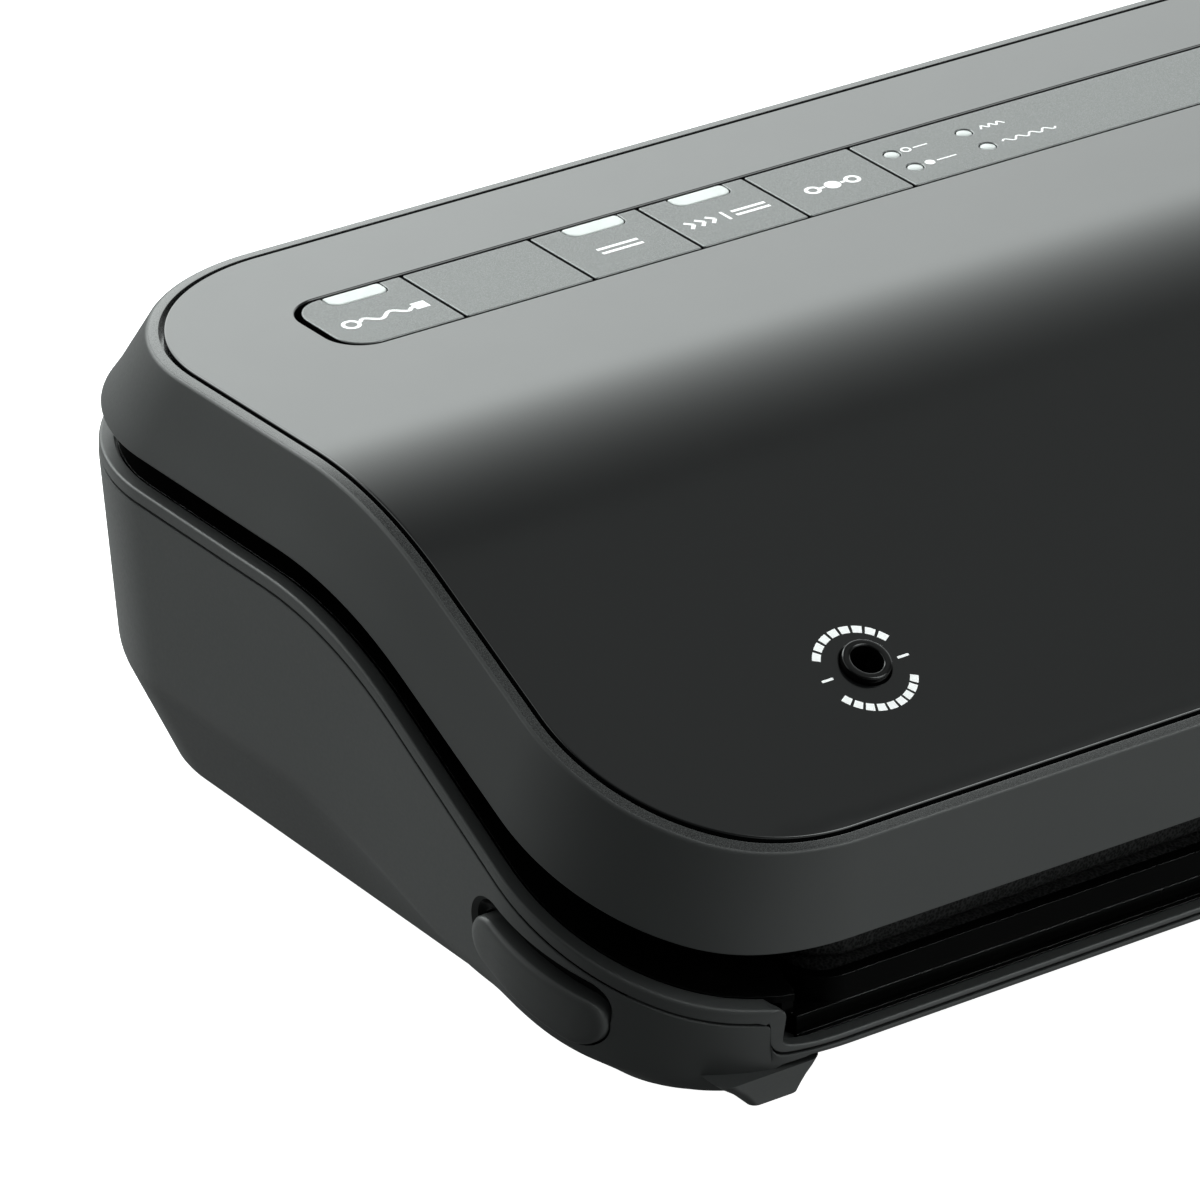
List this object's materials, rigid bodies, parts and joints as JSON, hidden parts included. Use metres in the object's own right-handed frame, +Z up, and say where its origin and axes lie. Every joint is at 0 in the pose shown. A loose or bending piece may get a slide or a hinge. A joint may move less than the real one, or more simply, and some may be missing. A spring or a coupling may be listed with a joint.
{
  "type": "vacuum sealer",
  "caption": "Countertop vacuum sealer with a hinged sloping lid, touch-key strip, hose port, foam-sealed channel, drip tray, side release buttons and internal pump.",
  "frame": {"origin": "centre of the footprint on the surface it stands on", "axes": "+X to the right along the long side, -Y towards the front where the bag goes in, +Z up; -Z is the face it stands on"},
  "size_m": [0.4038, 0.1924, 0.0855],
  "materials": {
    "panel": "gloss",
    "satin_shell": "satin",
    "satin_base": "satin",
    "black_inner": "matte",
    "key_grey": "satin",
    "window_white": "translucent",
    "foam": "matte",
    "rubber": "matte",
    "steel": "satin",
    "heater_insulation": "matte",
    "element_wire": "bare",
    "tape": "satin",
    "silicone_red": "satin",
    "silicone_clear": "translucent",
    "port_black": "gloss",
    "board": "satin",
    "tray": "satin",
    "switch_black": "matte",
    "core": "varnished",
    "can": "sleeved",
    "pump_plastic": "matte"
  },
  "bodies": {
    "base": {"base_tub": "satin_base", "base_rim": "satin_base", "base_deck": "black_inner", "lower_gasket": "foam", "heater_bar": "heater_insulation", "heating_element": "element_wire", "ptfe_tape": "tape", "rubber_feet": "rubber", "tub_screws": "steel", "hinge_brackets": "black_inner", "hinge_pins": "steel", "mains_inlet": "black_inner", "power_board": "board", "transformer": "core", "capacitor": "can", "pump_motor": "steel", "pump_head": "pump_plastic", "pump_bracket": "steel", "release_valve": "pump_plastic", "vacuum_hose": "silicone_clear", "chamber_nipple": "black_inner", "lid_switch": "switch_black", "spring_left": "steel", "spring_right": "steel"},
    "lid": {"lid_shell": "satin_shell", "lid_panel": "panel", "lid_liner": "black_inner", "lid_screws": "steel", "hinge_arms": "black_inner", "latch_posts": "black_inner", "upper_gasket": "foam", "pressure_strip": "silicone_red", "accessory_port": "port_black", "port_hose": "silicone_clear", "control_board": "board", "key_switches": "switch_black", "key_blank": "key_grey", "indicator_strip": "key_grey", "mode_leds": "window_white"},
    "accessory_button": {"accessory_key": "key_grey", "accessory_window": "window_white"},
    "seal_button": {"seal_key": "key_grey", "seal_window": "window_white"},
    "vac_seal_button": {"vac_seal_key": "key_grey", "vac_seal_window": "window_white"},
    "mode_button": {"mode_key": "key_grey"},
    "tray": {"drip_tray": "tray"},
    "left_release": {"release_left": "satin_base"},
    "right_release": {"release_right": "satin_base"},
    "crank": {"pump_crank": "steel"}
  },
  "joints": [
    {"name": "lid_hinge", "type": "hinge", "parent": "base", "child": "lid", "pos_m": [0, 0.084, 0.0595], "axis": [-1, 0, 0], "range_deg": [0, 65]},
    {"name": "accessory_press", "type": "slide", "parent": "lid", "child": "accessory_button", "axis": [0, 0, -1], "range_m": [0, 0.0008], "stiffness_N_per_m": 1500, "springref_m": -0.0001},
    {"name": "seal_press", "type": "slide", "parent": "lid", "child": "seal_button", "axis": [0, 0, -1], "range_m": [0, 0.0008], "stiffness_N_per_m": 1500, "springref_m": -0.0001},
    {"name": "vac_seal_press", "type": "slide", "parent": "lid", "child": "vac_seal_button", "axis": [0, 0, -1], "range_m": [0, 0.0008], "stiffness_N_per_m": 1500, "springref_m": -0.0001},
    {"name": "mode_press", "type": "slide", "parent": "lid", "child": "mode_button", "axis": [0, 0, -1], "range_m": [0, 0.0008], "stiffness_N_per_m": 1500, "springref_m": -0.0001},
    {"name": "left_release_press", "type": "slide", "parent": "base", "child": "left_release", "axis": [1, 0, 0], "range_m": [0, 0.0025], "stiffness_N_per_m": 1200, "springref_m": -0.0005, "deforming": ["spring_left"]},
    {"name": "right_release_press", "type": "slide", "parent": "base", "child": "right_release", "axis": [-1, 0, 0], "range_m": [0, 0.0025], "stiffness_N_per_m": 1200, "springref_m": -0.0005, "deforming": ["spring_right"]},
    {"name": "tray_lift", "type": "slide", "parent": "base", "child": "tray", "axis": [0, 0, 1], "range_m": [0, 0.042]},
    {"name": "pump_spin", "type": "hinge", "parent": "base", "child": "crank", "pos_m": [-0.117, 0.032, 0.03], "axis": [1, 0, 0], "continuous": true}
  ],
  "couplings": [
    {"joint": "tray_lift", "follows": "lid_hinge", "m_per_rad": 0.0352}
  ]
}
